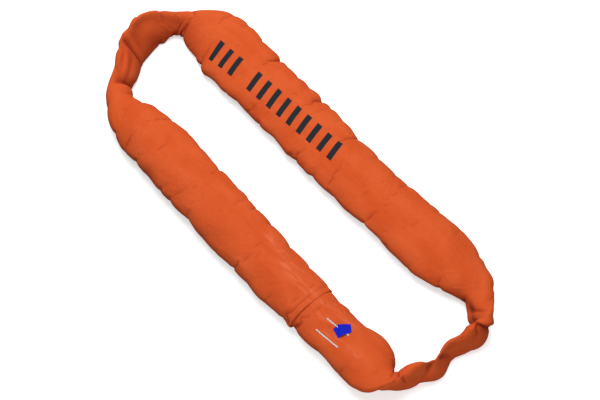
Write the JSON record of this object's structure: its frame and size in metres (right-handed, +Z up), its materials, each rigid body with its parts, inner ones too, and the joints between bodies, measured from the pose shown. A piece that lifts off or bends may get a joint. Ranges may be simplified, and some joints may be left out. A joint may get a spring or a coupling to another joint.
{
  "type": "round sling",
  "caption": "Endless soft lifting sling: a yarn core in a flat woven tubular sleeve, lying as a long loop whose ends stand on edge, with a closing seam, label stitching and a folded tag.",
  "frame": {"origin": "on the floor at the centre of the loop, midway between each bend point and its opposite one", "axes": "+X along the loop towards the end beside the label, +Y towards the printed leg, +Z up, the sling lying flat"},
  "size_m": [0.886, 0.3554, 0.0782],
  "materials": {
    "woven_sleeve": "matte woven polyester tube, fine weave with a faint lengthwise sheen",
    "core_yarn": "bundled off-white polyester yarn",
    "binding_tape": "plain woven tape",
    "sleeve_thread": "twisted polyester sewing thread",
    "label_thread": "twisted white sewing thread",
    "tag_ribbon": "plain woven ribbon"
  },
  "bodies": {
    "printed_leg": {"printed_leg_sleeve": "woven_sleeve", "printed_leg_core": "core_yarn"},
    "far_crown_a": {"far_crown_a_sleeve": "woven_sleeve", "far_crown_a_core": "core_yarn"},
    "far_crown_b": {"far_crown_b_sleeve": "woven_sleeve", "far_crown_b_core": "core_yarn"},
    "label_leg": {"label_leg_sleeve": "woven_sleeve", "label_leg_core": "core_yarn", "seam_hem": "woven_sleeve", "closing_stitches": "sleeve_thread"},
    "near_crown_a": {"near_crown_a_sleeve": "woven_sleeve", "near_crown_a_core": "core_yarn"},
    "near_crown_b": {"near_crown_b_sleeve": "woven_sleeve", "near_crown_b_core": "core_yarn"},
    "tucked_leg": {"tucked_leg_sleeve": "woven_sleeve", "tucked_leg_core": "core_yarn", "core_binding": "binding_tape", "label_stitches_inner": "label_thread", "label_stitches_outer": "label_thread", "tag_sewn_end": "tag_ribbon"},
    "tag": {"tag_flap": "tag_ribbon"}
  },
  "joints": [
    {"name": "far_printed_bend", "type": "hinge", "parent": "printed_leg", "child": "far_crown_a", "pos_m": [-0.389, 0.109, 0], "axis": [0, 0, -1], "range_deg": [-20, 30]},
    {"name": "far_tip_bend", "type": "hinge", "parent": "far_crown_a", "child": "far_crown_b", "pos_m": [-0.427, 0.017, 0], "axis": [0, 0, -1], "range_deg": [-60, 40]},
    {"name": "far_label_bend", "type": "hinge", "parent": "far_crown_b", "child": "label_leg", "pos_m": [-0.374, -0.088, 0], "axis": [0, 0, -1], "range_deg": [-20, 30]},
    {"name": "near_printed_bend", "type": "hinge", "parent": "printed_leg", "child": "near_crown_a", "pos_m": [0.374, 0.088, 0], "axis": [0, 0, 1], "range_deg": [-20, 30]},
    {"name": "near_tip_bend", "type": "hinge", "parent": "near_crown_a", "child": "near_crown_b", "pos_m": [0.427, -0.017, 0], "axis": [0, 0, 1], "range_deg": [-60, 40]},
    {"name": "near_label_bend", "type": "hinge", "parent": "near_crown_b", "child": "tucked_leg", "pos_m": [0.389, -0.109, 0], "axis": [0, 0, 1], "range_deg": [-20, 30]},
    {"name": "tag_fold", "type": "hinge", "parent": "tucked_leg", "child": "tag", "pos_m": [0.276, -0.122, 0.0493], "axis": [0.8387, -0.5446, 0], "range_deg": [0, 130]}
  ],
  "couplings": [
    {"joint": "far_tip_bend", "follows": "far_printed_bend", "ratio": -2},
    {"joint": "far_label_bend", "follows": "far_printed_bend", "ratio": 1},
    {"joint": "near_printed_bend", "follows": "far_printed_bend", "ratio": 1},
    {"joint": "near_tip_bend", "follows": "far_printed_bend", "ratio": -2},
    {"joint": "near_label_bend", "follows": "far_printed_bend", "ratio": 1}
  ]
}
